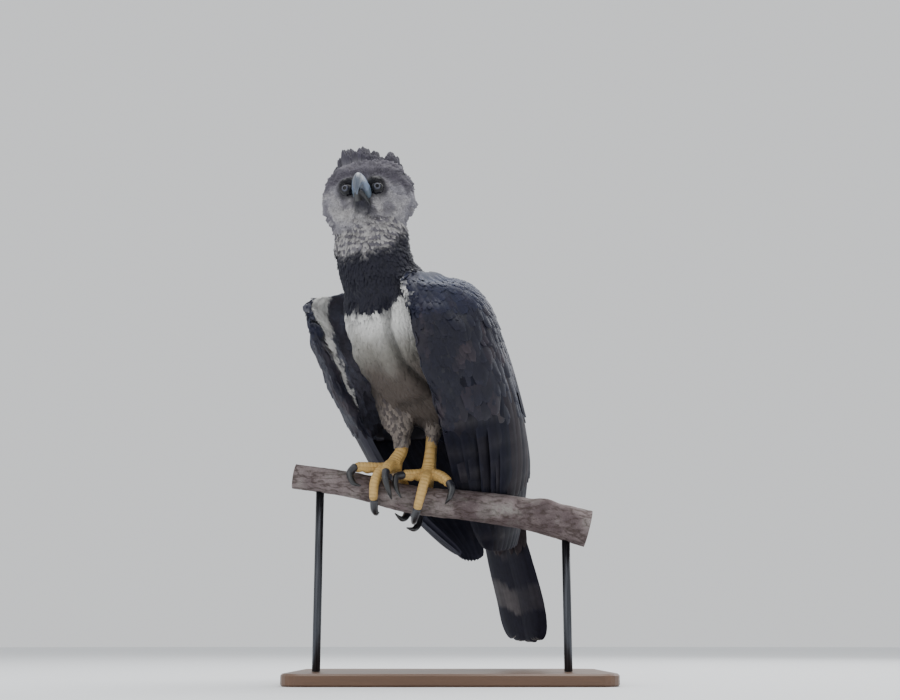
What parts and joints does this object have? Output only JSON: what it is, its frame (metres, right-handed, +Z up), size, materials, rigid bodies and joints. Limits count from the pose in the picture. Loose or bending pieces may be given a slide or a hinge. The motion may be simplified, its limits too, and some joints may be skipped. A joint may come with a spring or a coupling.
{
  "type": "harpy eagle, perched life-size model",
  "caption": "Life-size harpy eagle that grips a short length of branch and looks ahead with raised crest, on a plain display stand.",
  "frame": {"origin": "centre of the stand base's underside", "axes": "+Z up, -Y the way the head looks, +X towards the tail's side and the viewer's right"},
  "size_m": [0.5426, 0.5065, 0.9361],
  "materials": {
    "base_wood": "dark stained and satin varnished",
    "rod_steel": "blackened and brushed",
    "bark": "dry grey-brown bark with lichen",
    "horn": "polished slate-black claw horn",
    "scutes": "yellow ochre scaled skin",
    "pale_feathers": "soft white feathers, fine grey bars on the thighs",
    "dark_feathers": "slate-black feathers with a slight sheen",
    "grey_feathers": "soft grey feathers",
    "eye": "wet grey-brown eye with a black pupil",
    "bill": "blue-grey bill horn"
  },
  "bodies": {
    "root": {"stand_base": "base_wood", "stand_rod_1": "rod_steel", "stand_rod_2": "rod_steel", "perch": "bark", "claw_left_inner": "horn", "toe_left_inner": "scutes", "claw_left_middle": "horn", "toe_left_middle": "scutes", "claw_left_outer": "horn", "toe_left_outer": "scutes", "claw_left_hind": "horn", "toe_left_hind": "scutes", "shank_left": "scutes", "thigh_left": "pale_feathers", "wing_left": "dark_feathers", "claw_right_inner": "horn", "toe_right_inner": "scutes", "claw_right_middle": "horn", "toe_right_middle": "scutes", "claw_right_outer": "horn", "toe_right_outer": "scutes", "claw_right_hind": "horn", "toe_right_hind": "scutes", "shank_right": "scutes", "thigh_right": "pale_feathers", "wing_right": "dark_feathers", "tail": "dark_feathers", "trunk": "pale_feathers", "neck": "grey_feathers", "eye_left": "eye", "eye_right": "eye", "bill_upper": "bill", "bill_lower": "bill", "head": "grey_feathers", "crest": "grey_feathers"}
  },
  "joints": []
}
